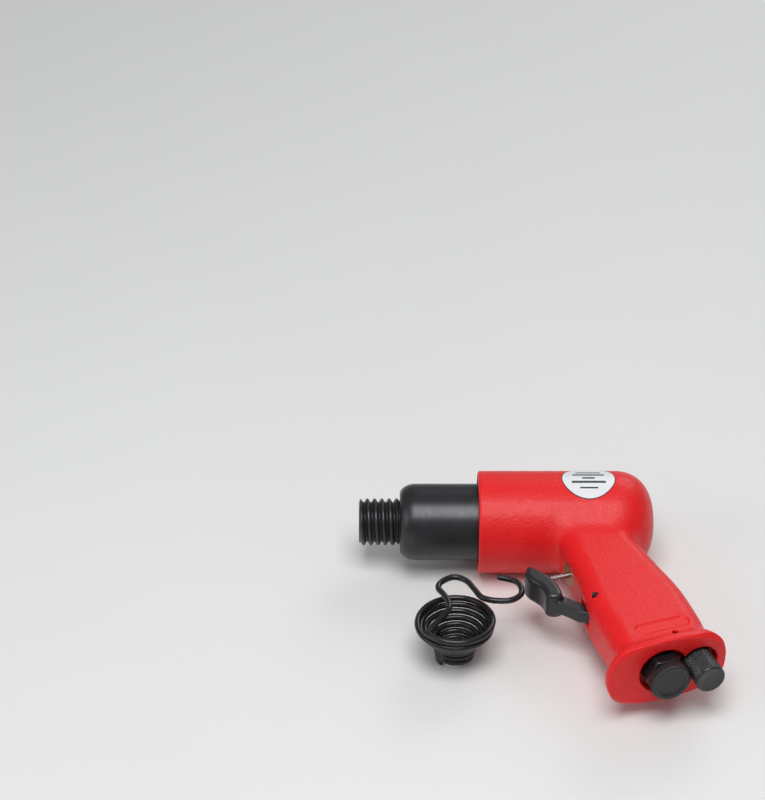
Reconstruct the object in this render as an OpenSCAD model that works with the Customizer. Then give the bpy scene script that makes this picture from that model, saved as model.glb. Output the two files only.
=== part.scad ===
// Air chisel hammer, 150 mm class, on its side with its chisel retainer spring beside it.
// Millimetres. X runs from the muzzle to the rear, -Y towards the end of the grip, +Z up.
// The origin is the mouth of the chisel socket, on the barrel axis.

/* [Overall] */
// length from muzzle to the back of the housing
tool_length = 150; // [140:1:170]
// diameter of the round housing
housing_d = 52; // [48:0.5:56]
// distance from the barrel axis down the grip to its end face
grip_length = 122.2; // [112:0.5:135]
// angle of the grip behind square to the barrel
grip_rake = 19.4; // [12:0.2:26]
// thickness of the grip between its flat sides
grip_thickness = 29; // [28:0.5:33]

/* [Barrel] */
// diameter of the plain barrel
barrel_d = 39; // [37.5:0.1:40]
// diameter over the nose thread
nose_d = 24; // [22.4:0.1:25]
// pitch of the nose thread
nose_pitch = 3.7; // [3.5:0.1:4]
// diameter of the chisel socket
socket_d = 10.3; // [10:0.05:11]
// depth of the chisel socket
socket_depth = 24; // [20:0.5:28]
// diameter of the piston bore
bore_d = 19.1; // [17:0.1:21]
// length of the piston
piston_length = 28; // [22:0.5:34]

/* [Grip end] */
// length of the oval flange
flange_length = 62; // [58:0.5:66]
// width of the oval flange
flange_width = 36; // [33:0.5:38]
// size across the flats of the inlet hexagon
inlet_hex = 19; // [17:0.5:19]
// diameter of the regulator knob
knob_d = 15; // [12:0.2:15.4]
// length of the regulator knob that stands out of the flange
knob_reach = 14.4; // [10:0.2:20]

/* [Trigger] */
// width of the trigger
trigger_width = 14.4; // [12:0.2:17]
// trigger swing, degrees
trigger_swing = 7; // [4:0.5:8]
// diameter of the throttle stem
stem_d = 3; // [2.5:0.1:4]

/* [Retainer spring] */
// wire diameter
retainer_wire = 3; // [2.6:0.1:3.2]
// radius of the wide turns, to the middle of the wire
retainer_r = 18.5; // [17:0.1:21]

/* [Hidden] */
$fn = 64;
eps = 0.01;
run = 0.05;                 // radial running clearance
gap = 0.3;                  // clearance between separate moving bodies

// housing along the barrel axis
housing_r = housing_d / 2;
housing_front = 60.5;
front_round = 1.2;
dome_reach = 21;            // length of the rounded back
dome_power = 2.4;           // how square the rounded back is
dome_steps = 9;
socket_r = socket_d / 2;
barrel_r = barrel_d / 2;
exhaust_r = barrel_r + 3;   // annular exhaust gap in the front of the housing
exhaust_end = 86;
barrel_end = 100;
valve_r = barrel_r - 1.7;
plate_end = barrel_end + 3;
box_end = plate_end + 13;
washer_end = box_end + 1.2;
chamber_r = 13.5;
chamber_end = tool_length - 13;
bore_r = bore_d / 2;
nose_r = nose_d / 2;

// nose and shoulder of the barrel
nose_end = 20;
nose_turns = 5;
groove_r = nose_pitch * 0.36;
neck_r = nose_r - 1;
shoulder_start = nose_end + 0.8;
shoulder_r0 = 14.4;
shoulder_end = 29;
port_x = 72;
port_r = 2.5;
port_count = 6;

// piston and valve
piston_r = bore_r - run;
piston_x = socket_depth + 2;
piston_ring = 1;            // width of each oil groove
piston_chamfer = 1;
piston_dish = 9;            // depth of the hollow in its back
disc_r = 11 - run;
disc_t = 3.2;
disc_x = plate_end + gap;
disc_pocket = 5.1;          // depth of the pocket the disc shifts in
disc_land = 1.6;            // how far the disc laps over its feed hole
feed_r = 4;
kick_r = 1.3;
kick_circle = 8;
dowel_r = 1.5;
dowel_circle = 14.4;
dowel_x = barrel_end - 5;
dowel_length = 18;

// grip: u runs from its front strap to its back strap, -y runs down it
grip_root = 107.8;          // where the grip axis meets the barrel axis
half_grip = grip_thickness / 2;
grip_corner = 9;
slice_t = 0.4;
// one slice of the grip: distance down, front edge, back edge, extra half thickness
top_slice = [18, -15.5, 19, 0];
neck_slice = [40, -17.4, 21, 0];
finger_slice = [60, -19.5, 23.4, 0];
palm_slice = [78, -22, 25.8, 0.2];
heel_slice = [104, -22.8, 25.6, 0.5];
end_slice = [grip_length - 6.6, -24.5, 25, 0.7];
flange_t = 3.6;
flange_round = 0.8;
flange_end_r = 12.5;        // radius of the narrow ends of the flange
flange_half = flange_length / 2 - flange_end_r;

// throttle, square to the grip axis
throttle_v = 40;
throttle_front = -17.4;
seat_u = 1;
throttle_r = 6;
spring_end_u = 15;
stem_r = stem_d / 2;
stem_tip_u = -38.3;
stem_back_u = 5.4;
guide_end_u = -11;
bush_bore_r = 3.6;
side_port_u = -8;
side_port_r = 2.5;
air_end_v = 12.3;
air_end_u = 10.7;
oring_r = 0.9;
oring_u = -13.6;
seal_r = 4.9;
seal_t = 1.5;
hub_r = 2.3;
head_r = 5;
head_t = 2;
hub_back = 1.4;             // length of the hub behind the head
spring_r = 4;
spring_wire = 0.45;
spring_turns = 4;
spring_steps = 16;          // points in each turn

// trigger pivot, on the grip
pivot_u = -17.3;
pivot_v = 73;
pin_r = 1.4;
pin_length = grip_thickness - 2;
boss_r = 3.4;
arm_t = 7;
slot_t = arm_t + 2 * 0.5;
slot_r = boss_r + 0.9;
slot_above = 10;            // how far the arm slot reaches above the pivot
trigger_wall = 1.6;

// inlet and regulator, along the grip axis
inlet_u = -2;
knob_u = 16.8;
pocket_depth = 5.2;
inlet_pocket_r = 12.3;
knob_pocket_r = 9.3;
shank_r = 8.5;
shank_top = 100.2;
screen_t = 1.2;
screen_pitch = 1.6;
screen_hole_r = 0.55;
screen_rows = 3;            // rows of holes each side of the middle one
inlet_chamber_r = 6.5;
inlet_chamber_top = 84;
inlet_thread_r = 5.6;
gasket_t = 1;
hex_out = 5.5;
hex_r = inlet_hex / 2 / cos(30);
lock_u = 7;
lock_v = 114.2;
lock_r = 1.3;
lock_depth = 1.1;
plug_r = 10.25;
plug_t = 5;
plug_teeth = 36;
plug_tooth_r = 0.45;
plug_shank = 12;
plug_edge = 0.8;
plug_dish = 1;              // depth of the dished face
plug_rim = 3;
spindle_r = 4;
spindle_top = 85;
collar_r = 5.4;
gland_r = 7;
gland_top = 106;
collar_room = 5.6;
meter_v = 89;
meter_r = 2.2;
spindle_bore_r = meter_r - 0.4;
spindle_groove_v = meter_v + 5;
spindle_ring_r = 0.72;
supply_r = 2.8;
knob_r = knob_d / 2;
knob_seat = 1.2;            // gap between the knob and its gland
knob_edge = 0.8;
knob_socket = 8;            // how deep the spindle goes into the knob
knob_ridges = 36;
ridge_r = 0.35;
badge_u = 3.5;
badge_v = 107;
badge_l = 28;
badge_w = 7;
badge_depth = 0.4;

// label on the housing
label_r = 13.6;
label_x = 116.2;
label_turn = 85;
label_t = 0.15;

// retainer spring: turns, then radius and depth of the wire below the top turn
retainer_x = 47.6;
retainer_y = -76.6;
retainer_depth = 24.5;
retainer_top = -housing_r + retainer_depth + retainer_wire / 2;
retainer_start = 222;
retainer_steps = 24;
loop_steps = 3;
retainer_knots = [
    [0, 1, 0], [1, 1, 4.1], [2, 0.9, 6.6], [3, 0.78, 9], [4, 0.66, 11.4],
    [5, 0.56, 14.2], [6, 0.51, 17.6], [7, 0.47, 21.2], [8, 0.44, retainer_depth]
];
// finger loop of the retainer spring, from the top turn: x, y, height over the top turn
retainer_loop = [
    [-8.6, -5.6, 2.2], [-3.5, 1.5, 3.3], [-3, 7, 3.4], [-5, 13, 3.4], [-8, 19, 3.4], [-6, 24, 3.4],
    [0, 27.5, 3.4], [6, 24.5, 3.4], [10, 17.5, 3.4], [13.5, 11.5, 3.4], [20, 9, 3.4],
    [28, 9.5, 3.4], [33, 15, 3.4], [31, 23.5, 3.4], [21.5, 27.5, 3.4]
];

// ---- frames -------------------------------------------------------------

module along_barrel(x) {
    translate([x, 0, 0]) rotate([0, 90, 0]) children();
}

module grip_frame() {
    translate([grip_root, 0, 0]) rotate([0, 0, grip_rake]) children();
}

// z of the children runs down the grip from distance v
module down_grip(u, v) {
    translate([u, -v, 0]) rotate([90, 0, 0]) children();
}

// z of the children runs from the front of the grip to its back
module across_grip(u, v) {
    translate([u, -v, 0]) rotate([0, 90, 0]) children();
}

module tube(r_out, r_in, length) {
    difference() {
        cylinder(r = r_out, h = length);
        translate([0, 0, -eps]) cylinder(r = r_in, h = length + 2 * eps);
    }
}

module ring(r_mid, r_wire) {
    rotate_extrude() translate([r_mid, 0]) circle(r = r_wire, $fn = 24);
}

// round wire swept along a list of points
function along(path, i) = let (
        a = path[max(i - 1, 0)],
        b = path[min(i + 1, len(path) - 1)]
    ) (b - a) / norm(b - a);
function side(t) = let (s = cross(t, [0, 0, 1])) s / norm(s);
module wire(path, r, sides) {
    last = len(path) - 1;
    points = [
        for (i = [0:last])
            let (t = along(path, i), s = side(t), n = cross(s, t))
                for (k = [0:sides - 1])
                    path[i] + r * (cos(360 * k / sides) * s + sin(360 * k / sides) * n)
    ];
    walls = [
        for (i = [0:last - 1], k = [0:sides - 1], half = [0, 1])
            let (a = i * sides + k, b = i * sides + (k + 1) % sides)
                half == 0 ? [a, b, b + sides] : [a, b + sides, a + sides]
    ];
    start = [for (k = [sides - 1:-1:0]) k];
    end = [for (k = [0:sides - 1]) last * sides + k];
    polyhedron(points, concat([start], walls, [end]), convexity = 10);
}

// ---- housing ------------------------------------------------------------

module housing_solid() {
    dome_x = tool_length - dome_reach;
    dome = [
        for (i = [0:dome_steps])
            let (a = 90 * i / dome_steps)
                [housing_r * pow(cos(a), 2 / dome_power), dome_x + dome_reach * pow(sin(a), 2 / dome_power)]
    ];
    front = [
        [0, housing_front], [housing_r - front_round, housing_front],
        [housing_r, housing_front + front_round]
    ];
    rotate([0, 90, 0]) rotate_extrude($fn = 96) polygon(concat(front, dome));
}

module grip_slice(slice) {
    for (u = [slice[1] + grip_corner, slice[2] - grip_corner])
        for (z = [-1, 1])
            translate([u, -slice[0], z * (half_grip + slice[3] - grip_corner)])
                rotate([90, 0, 0]) cylinder(r = grip_corner, h = slice_t, $fn = 32);
}

module grip_span(a, b) {
    hull() {
        grip_slice(a);
        grip_slice(b);
    }
}

// the rounds that span the flange, drawn in from its edge
module flange_rounds(inset, length) {
    cylinder(r = flange_width / 2 - inset, h = length);
    for (u = [-flange_half, flange_half])
        translate([u, 0, 0]) cylinder(r = flange_end_r - inset, h = length);
}

module grip_solid() {
    grip_span(top_slice, neck_slice);
    grip_span(neck_slice, finger_slice);
    grip_span(finger_slice, palm_slice);
    grip_span(palm_slice, heel_slice);
    grip_span(heel_slice, end_slice);
    hull() {
        grip_slice(end_slice);
        down_grip(0, grip_length - flange_t) flange_rounds(flange_round, slice_t);
    }
    hull() down_grip(0, grip_length - flange_t) flange_rounds(0, flange_t);
}

module housing_bores() {
    along_barrel(housing_front - 1) cylinder(r = exhaust_r, h = exhaust_end - housing_front + 1);
    along_barrel(exhaust_end - 1) cylinder(r = barrel_r, h = barrel_end - exhaust_end + 1);
    along_barrel(barrel_end - 1) cylinder(r = valve_r, h = washer_end - barrel_end + 1);
    along_barrel(washer_end - 1) cylinder(r = chamber_r, h = chamber_end - washer_end + 1);
}

// straight drilled passage between two points of the grip's middle plane
module passage(from, to, r) {
    run_u = to[0] - from[0];
    run_v = to[1] - from[1];
    translate([from[0], -from[1], 0])
        rotate([0, 0, atan2(run_u, run_v)]) rotate([90, 0, 0]) cylinder(r = r, h = norm([run_u, run_v]));
}

module throttle_bores() {
    across_grip(throttle_front - 8, throttle_v)
        cylinder(r = throttle_r, h = spring_end_u - throttle_front + 8);
    passage([air_end_u, air_end_v], [side_port_u, throttle_v], side_port_r);
    passage([spring_end_u - 4, throttle_v], [knob_u, spindle_top], supply_r);
}

module trigger_slot() {
    translate([pivot_u - 22, -pivot_v - slot_r, -slot_t / 2])
        cube([22 + slot_r, slot_above + slot_r, slot_t]);
    translate([pivot_u, -pivot_v, -slot_t / 2]) cylinder(r = slot_r, h = slot_t);
}

module inlet_bores() {
    below = grip_length + 1;
    down_grip(inlet_u, grip_length - pocket_depth) cylinder(r = inlet_pocket_r, h = pocket_depth + 1);
    down_grip(inlet_u, shank_top - screen_t) cylinder(r = shank_r, h = below - shank_top + screen_t);
    down_grip(inlet_u, inlet_chamber_top) cylinder(r = inlet_chamber_r, h = shank_top - inlet_chamber_top);
    down_grip(knob_u, grip_length - pocket_depth) cylinder(r = knob_pocket_r, h = pocket_depth + 1);
    down_grip(knob_u, gland_top) cylinder(r = gland_r, h = below - gland_top);
    down_grip(knob_u, gland_top - collar_room) cylinder(r = collar_r + gap, h = collar_room + 1);
    down_grip(knob_u, spindle_top - 1) cylinder(r = spindle_r + run, h = gland_top - spindle_top);
    across_grip(inlet_u, meter_v) cylinder(r = meter_r, h = knob_u - inlet_u);
}

module badge_recess() {
    translate([badge_u, -badge_v, half_grip + heel_slice[3] - badge_depth]) {
        for (u = [-1, 1])
            translate([u * (badge_l - badge_w) / 2, 0, 0]) cylinder(d = badge_w, h = 1);
        translate([-(badge_l - badge_w) / 2, -badge_w / 2, 0]) cube([badge_l - badge_w, badge_w, 1]);
    }
}

module cross_pin(u, v, r, length) {
    translate([u, -v, -length / 2]) cylinder(r = r, h = length);
}

module housing() {
    color("#c8141a") difference() {
        union() {
            housing_solid();
            grip_frame() grip_solid();
        }
        housing_bores();
        grip_frame() {
            throttle_bores();
            trigger_slot();
            inlet_bores();
            badge_recess();
            cross_pin(pivot_u, pivot_v, pin_r, grip_thickness + 4);
            cross_pin(lock_u, lock_v, lock_r, grip_thickness + 12);
        }
    }
}

// ---- barrel, piston and valve --------------------------------------------

module barrel_profile() {
    arc_steps = 6;
    shoulder = [
        for (i = [0:arc_steps])
            let (a = 90 * i / arc_steps)
                [
                    shoulder_r0 + (barrel_r - shoulder_r0) * sin(a),
                    shoulder_start + (shoulder_end - shoulder_start) * (1 - cos(a))
                ]
    ];
    polygon(concat(
        [[0, 0], [nose_r - 1, 0], [nose_r, 1], [nose_r, nose_end - 2], [neck_r, nose_end - 1]],
        [[neck_r, shoulder_start]],
        shoulder,
        [[barrel_r, barrel_end], [0, barrel_end]]
    ));
}

module barrel() {
    color("#26282b") difference() {
        rotate([0, 90, 0]) rotate_extrude($fn = 96) barrel_profile();
        for (i = [0:nose_turns - 1])
            along_barrel(nose_pitch * (i + 0.6)) ring(nose_r + groove_r * 0.15, groove_r);
        along_barrel(-1) cylinder(r = socket_r, h = socket_depth + 2);
        along_barrel(socket_depth) cylinder(r = bore_r, h = barrel_end);
        for (i = [0:port_count - 1])
            along_barrel(port_x) rotate([0, 0, 360 * i / port_count])
                rotate([0, 90, 0]) cylinder(r = port_r, h = barrel_r + 1);
        along_barrel(dowel_x) translate([0, dowel_circle, 0]) cylinder(r = dowel_r, h = dowel_length);
    }
}

module piston() {
    color("#9a9da0") along_barrel(piston_x) difference() {
        union() {
            cylinder(r1 = piston_r - piston_chamfer, r2 = piston_r, h = piston_chamfer);
            translate([0, 0, piston_chamfer])
                cylinder(r = piston_r, h = piston_length - 2 * piston_chamfer);
            translate([0, 0, piston_length - piston_chamfer])
                cylinder(r1 = piston_r, r2 = piston_r - piston_chamfer, h = piston_chamfer);
        }
        for (z = [piston_length * 0.3, piston_length * 0.7])
            translate([0, 0, z]) ring(piston_r, piston_ring / 2);
        translate([0, 0, piston_length - piston_dish]) cylinder(r = piston_r * 0.45, h = piston_dish + 1);
    }
}

module valve_front_plate() {
    color("#8d9093") along_barrel(barrel_end) difference() {
        cylinder(r = valve_r, h = plate_end - barrel_end);
        translate([0, 0, -1]) cylinder(r = feed_r + 1, h = 6);
        translate([0, dowel_circle, -1]) cylinder(r = dowel_r, h = 6);
        for (i = [0:3])
            rotate([0, 0, 45 + 90 * i]) translate([kick_circle, 0, -1]) cylinder(r = kick_r, h = 6);
    }
}

module valve_disc() {
    color("#b9bcbf") along_barrel(disc_x) tube(disc_r, feed_r + disc_land, disc_t);
}

module valve_box() {
    color("#8d9093") along_barrel(plate_end) difference() {
        cylinder(r = valve_r, h = box_end - plate_end);
        translate([0, 0, -1]) cylinder(r = disc_r + run, h = disc_pocket + 1);
        cylinder(r = feed_r, h = box_end);
        translate([0, dowel_circle, -1]) cylinder(r = dowel_r, h = dowel_x + dowel_length - plate_end + 1);
        for (i = [0:3])
            rotate([0, 0, 45 + 90 * i]) translate([kick_circle, 0, 1]) cylinder(r = kick_r, h = box_end);
    }
}

module valve_dowel() {
    color("#a5a8ab") along_barrel(dowel_x) translate([0, dowel_circle, 0])
        cylinder(r = dowel_r, h = dowel_length);
}

module wave_washer() {
    color("#7d8083") along_barrel(box_end) tube(valve_r - 0.2, chamber_r - 1.5, washer_end - box_end);
}

// ---- throttle -------------------------------------------------------------

module throttle_bushing() {
    length = seat_u - throttle_front;
    color("#b08d3c") grip_frame() difference() {
        across_grip(throttle_front, throttle_v) cylinder(r = throttle_r, h = length);
        across_grip(throttle_front - 1, throttle_v) cylinder(r = stem_r + run, h = length);
        across_grip(guide_end_u, throttle_v) cylinder(r = bush_bore_r, h = length);
        passage([air_end_u, air_end_v], [side_port_u, throttle_v], side_port_r);
        across_grip(oring_u, throttle_v) ring(throttle_r - oring_r * 0.5, oring_r);
    }
}

module throttle_bushing_oring() {
    color("#141414") grip_frame() intersection() {
        across_grip(oring_u, throttle_v) ring(throttle_r - oring_r * 0.5, oring_r);
        across_grip(oring_u - 2, throttle_v) cylinder(r = throttle_r, h = 4);
    }
}

module throttle_stem() {
    length = stem_back_u - stem_tip_u;
    color("#b4b7ba") grip_frame() across_grip(stem_tip_u, throttle_v) {
        translate([0, 0, stem_r]) sphere(r = stem_r);
        translate([0, 0, stem_r]) cylinder(r = stem_r, h = length - stem_r);
    }
}

module throttle_valve() {
    color("#b08d3c") grip_frame() across_grip(seat_u + gap, throttle_v) difference() {
        union() {
            cylinder(r = hub_r, h = seal_t);
            translate([0, 0, seal_t]) cylinder(r = head_r, h = head_t);
            translate([0, 0, seal_t + head_t - eps]) cylinder(r = hub_r, h = hub_back);
        }
        translate([0, 0, -1]) cylinder(r = stem_r, h = 12);
    }
}

module throttle_seal() {
    color("#161616") grip_frame() across_grip(seat_u + gap, throttle_v) tube(seal_r, hub_r, seal_t);
}

module throttle_spring() {
    start = seat_u + gap + seal_t + head_t + spring_wire;
    length = spring_end_u - start - spring_wire;
    points = spring_turns * spring_steps;
    path = [
        for (i = [0:points])
            let (a = 360 * i / spring_steps)
                [
                    start + length * i / points,
                    -throttle_v + spring_r * cos(a),
                    spring_r * sin(a)
                ]
    ];
    color("#8f9295") grip_frame() wire(path, spring_wire, 6);
}

// ---- trigger ----------------------------------------------------------------

// side outline of the finger piece, on the barrel's own axes
module finger_outline() {
    polygon([
        [84.9, -44.3], [83.5, -45.8], [82.6, -49.6], [83.2, -52.4], [84.9, -55.2], [87.4, -57.6],
        [89.8, -60.2], [91.6, -63.6], [92.8, -67.6], [96.4, -69], [100.4, -67.6], [100.6, -64.4],
        [99.6, -60.6], [97.7, -56], [94.9, -51.6], [90.4, -47.3], [87, -44.9]
    ]);
}

// the same outline less its front wall
module finger_hollow() {
    polygon([
        [86, -46.5], [85, -47.6], [84.4, -49.6], [84.9, -51.7], [86.3, -54.1], [88.7, -56.5],
        [91.3, -59.4], [93.2, -62.9], [94.4, -66.2], [96.6, -67.3], [99.2, -66.4], [104, -64],
        [104, -56], [96, -46], [90.5, -45.4]
    ]);
}

module trigger() {
    hollow = trigger_width - 2 * trigger_wall;
    pivot_x = grip_root + pivot_u * cos(grip_rake) + pivot_v * sin(grip_rake);
    pivot_y = pivot_u * sin(grip_rake) - pivot_v * cos(grip_rake);
    color("#232427") difference() {
        union() {
            difference() {
                translate([0, 0, -trigger_width / 2]) linear_extrude(trigger_width) finger_outline();
                translate([0, 0, -hollow / 2]) linear_extrude(hollow) finger_hollow();
            }
            translate([0, 0, -arm_t / 2]) linear_extrude(arm_t)
                polygon([
                    [95, -66.4], [100.2, -63.4], [106.6, -67.4], [112.4, -71.4],
                    [pivot_x, pivot_y + boss_r], [pivot_x, pivot_y - boss_r], [108, -76.2],
                    [101.5, -71.4], [96.4, -68.6]
                ]);
            translate([pivot_x, pivot_y, -arm_t / 2]) cylinder(r = boss_r, h = arm_t);
        }
        translate([pivot_x, pivot_y, -arm_t]) cylinder(r = pin_r + run, h = 2 * arm_t);
    }
}

module trigger_pin() {
    color("#3a3c3f") grip_frame() cross_pin(pivot_u, pivot_v, pin_r, pin_length);
}

// ---- regulator -----------------------------------------------------------------

module regulator_knob() {
    top = grip_length - pocket_depth + knob_seat;
    length = grip_length + knob_reach - top;
    color("#2e3033") grip_frame() down_grip(knob_u, top) difference() {
        union() {
            cylinder(r = knob_r, h = length - knob_edge);
            translate([0, 0, length - knob_edge])
                cylinder(r1 = knob_r, r2 = knob_r - knob_edge, h = knob_edge);
        }
        for (i = [0:knob_ridges - 1])
            rotate([0, 0, 360 * i / knob_ridges])
                translate([knob_r + 0.1, 0, 3]) cylinder(r = ridge_r, h = length - 4.2, $fn = 6);
        translate([0, 0, -1]) cylinder(r = spindle_r - 1, h = knob_socket + 1);
    }
}

module regulator_spindle() {
    top = grip_length - pocket_depth + knob_seat;
    color("#a8abae") grip_frame() difference() {
        union() {
            down_grip(knob_u, spindle_top) cylinder(r = spindle_r, h = top - spindle_top);
            down_grip(knob_u, top - 1) cylinder(r = spindle_r - 1, h = knob_socket + 1);
            down_grip(knob_u, gland_top - collar_room + gap)
                cylinder(r = collar_r, h = collar_room - 2 * gap);
        }
        down_grip(knob_u, spindle_top - 1) cylinder(r = spindle_bore_r, h = meter_v - spindle_top + 1);
        across_grip(knob_u - 6, meter_v) cylinder(r = spindle_bore_r, h = 6);
        down_grip(knob_u, spindle_groove_v) ring(spindle_r, spindle_ring_r);
    }
}

module regulator_oring() {
    color("#141414") grip_frame() intersection() {
        down_grip(knob_u, spindle_groove_v) ring(spindle_r, spindle_ring_r);
        down_grip(knob_u, spindle_groove_v - 2) cylinder(r = spindle_r, h = 4);
    }
}

module regulator_gland() {
    color("#b08d3c") grip_frame() down_grip(knob_u, gland_top)
        tube(gland_r, spindle_r + run, grip_length - pocket_depth - gland_top);
}

// ---- air inlet -------------------------------------------------------------------

module inlet_bushing() {
    hex_top = grip_length - pocket_depth + gasket_t;
    hex_h = grip_length + hex_out - hex_top;
    color("#1d1e20") grip_frame() difference() {
        union() {
            down_grip(inlet_u, hex_top) intersection() {
                cylinder(r = hex_r, h = hex_h, $fn = 6);
                cylinder(r1 = hex_r + 6, r2 = hex_r - 0.7, h = hex_h);
            }
            down_grip(inlet_u, shank_top) cylinder(r = shank_r, h = hex_top - shank_top + 1);
        }
        down_grip(inlet_u, shank_top - 1) cylinder(r = inlet_thread_r, h = 60);
        down_grip(inlet_u, lock_v - lock_r) tube(shank_r + 1, shank_r - lock_depth, 2 * lock_r);
    }
}

module inlet_gasket() {
    color("#8a4b2a") grip_frame() down_grip(inlet_u, grip_length - pocket_depth)
        tube(shank_r + 1, shank_r, gasket_t);
}

module inlet_screen() {
    color("#b9bcbf") grip_frame() down_grip(inlet_u, shank_top - screen_t) difference() {
        cylinder(r = shank_r, h = screen_t);
        for (u = [-screen_rows:screen_rows])
            for (w = [-screen_rows:screen_rows])
                if (norm([u, w]) <= screen_rows)
                    translate([u * screen_pitch, w * screen_pitch, -1])
                        cylinder(r = screen_hole_r, h = screen_t + 2, $fn = 16);
    }
}

module inlet_lock_pin() {
    color("#3a3c3f") grip_frame() cross_pin(lock_u, lock_v, lock_r, pin_length);
}

module inlet_plug() {
    color("#17181a") grip_frame() down_grip(inlet_u, grip_length + hex_out + gap) {
        difference() {
            union() {
                cylinder(r = plug_r, h = plug_t - plug_edge);
                translate([0, 0, plug_t - plug_edge])
                    cylinder(r1 = plug_r, r2 = plug_r - plug_edge, h = plug_edge);
            }
            for (i = [0:plug_teeth - 1])
                rotate([0, 0, 360 * i / plug_teeth])
                    translate([plug_r + 0.1, 0, -1]) cylinder(r = plug_tooth_r, h = plug_t + 2, $fn = 8);
            translate([0, 0, plug_t - plug_dish]) cylinder(r = plug_r - plug_rim, h = plug_dish + 1);
        }
        translate([0, 0, -plug_shank]) cylinder(r = inlet_thread_r - run, h = plug_shank + 1);
    }
}

// ---- label and retainer spring -----------------------------------------------------

module label() {
    color("#f2f2ee") intersection() {
        along_barrel(label_x - label_r - 1) tube(housing_r + label_t, housing_r, 2 * label_r + 2);
        translate([label_x, 0, 0]) rotate([label_turn - 90, 0, 0]) cylinder(r = label_r, h = 2 * housing_r);
    }
}

function knot_at(t, k) = let (
        i = min(floor(t), len(retainer_knots) - 2),
        a = retainer_knots[i],
        b = retainer_knots[i + 1]
    ) a[k] + (b[k] - a[k]) * (t - i);
function loop_point(p) = [retainer_x + p[0], retainer_y + p[1], retainer_top + p[2]];

// smooth curve through a list of points, a few steps to each stretch
function blend(a, b, c, d, t) = 0.5 * (
        2 * b + (c - a) * t + (2 * a - 5 * b + 4 * c - d) * t * t + (3 * b - a - 3 * c + d) * t * t * t
    );
function smooth(list, steps) = [
        for (i = [0:len(list) - 2], k = [0:steps - 1])
            blend(list[max(i - 1, 0)], list[i], list[i + 1], list[min(i + 2, len(list) - 1)], k / steps),
        list[len(list) - 1]
    ];

module retainer_spring() {
    turns = len(retainer_knots) - 1;
    coil = [
        for (i = [turns * retainer_steps:-1:0])
            let (t = i / retainer_steps, a = retainer_start + 360 * t, r = retainer_r * knot_at(t, 1))
                [retainer_x + r * cos(a), retainer_y + r * sin(a), retainer_top - knot_at(t, 2)]
    ];
    tail = concat([coil[len(coil) - 1]], [for (p = retainer_loop) loop_point(p)]);
    bent = smooth(tail, loop_steps);
    route = concat(coil, [for (i = [1:len(bent) - 1]) bent[i]]);
    color("#1b1c1e") wire(route, retainer_wire / 2, 8);
}

housing();
barrel();
piston();
valve_front_plate();
valve_disc();
valve_box();
valve_dowel();
wave_washer();
throttle_bushing();
throttle_bushing_oring();
throttle_stem();
throttle_valve();
throttle_seal();
throttle_spring();
trigger();
trigger_pin();
regulator_knob();
regulator_spindle();
regulator_oring();
regulator_gland();
inlet_bushing();
inlet_gasket();
inlet_screen();
inlet_lock_pin();
inlet_plug();
label();
retainer_spring();
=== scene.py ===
"""Looks of the air chisel hammer.

A smooth cast housing, a turned and threaded barrel, a knurled knob and a wound spring.
"""

import math

import bmesh
import bpy
import numpy as np
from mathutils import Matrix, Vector


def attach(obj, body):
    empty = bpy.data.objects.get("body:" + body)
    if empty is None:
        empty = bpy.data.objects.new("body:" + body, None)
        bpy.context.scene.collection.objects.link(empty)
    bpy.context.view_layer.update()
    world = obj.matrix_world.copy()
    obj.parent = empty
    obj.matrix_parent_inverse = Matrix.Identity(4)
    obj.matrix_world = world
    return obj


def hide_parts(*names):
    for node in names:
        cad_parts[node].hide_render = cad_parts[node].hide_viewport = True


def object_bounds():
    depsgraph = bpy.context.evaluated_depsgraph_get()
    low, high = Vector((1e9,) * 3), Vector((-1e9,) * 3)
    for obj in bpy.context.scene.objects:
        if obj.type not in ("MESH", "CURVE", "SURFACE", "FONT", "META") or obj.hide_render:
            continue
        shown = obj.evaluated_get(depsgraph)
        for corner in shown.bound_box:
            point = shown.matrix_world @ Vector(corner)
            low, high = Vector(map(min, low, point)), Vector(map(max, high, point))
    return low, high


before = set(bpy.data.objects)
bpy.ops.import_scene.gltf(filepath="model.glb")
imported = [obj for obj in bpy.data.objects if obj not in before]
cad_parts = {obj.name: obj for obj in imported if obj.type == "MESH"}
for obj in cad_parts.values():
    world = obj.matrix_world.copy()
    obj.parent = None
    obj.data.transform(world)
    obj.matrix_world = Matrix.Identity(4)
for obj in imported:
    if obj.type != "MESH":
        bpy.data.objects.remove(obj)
cad_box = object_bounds()

MM = 0.001
TAU = 2 * math.pi

# ---- sizes of the hammer, in millimetres, on its own axes ------------------
# x runs from the muzzle to the rear, y away from the grip, z out of the side that faces up

HOUSING_R = 26.0
HOUSING_FRONT = 60.5
HOUSING_LENGTH = 150.0
HOUSING_STEP = 0.5
FRONT_EDGE = 1.6
DOME_REACH = 21.0
DOME_POWER = 2.4
BORE_EDGE = 0.7
# where each step of a bore ends along it, and its radius there
BORE_STEPS = [(86.0, 22.5), (100.0, 19.5), (117.2, 17.8), (137.0, 13.5)]

GRIP_ROOT = 107.8
RAKE = math.radians(19.4)
GRIP_LENGTH = 122.2
GRIP_TOP = 14.0
GRIP_CORNER = 9.0
GRIP_BLEND = 7.0
# distance down the grip, and there its front strap, back strap and half thickness
GRIP_V = [15, 40, 60, 78, 104, 114, 122]
GRIP_FRONT = [-15.5, -17.4, -19.5, -22.0, -22.8, -23.8, -27.5]
GRIP_BACK = [18.5, 21.0, 23.4, 25.8, 25.6, 25.2, 28.5]
GRIP_HALF = [14.5, 14.5, 14.5, 14.6, 14.8, 14.9, 16.4]
FLANGE_T = 3.6
FLANGE_REACH = (30.93, 17.95)
FLANGE_POWER = 2.25
FLANGE_EDGE = 1.0
FLANGE_BLEND = 5.0

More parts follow.
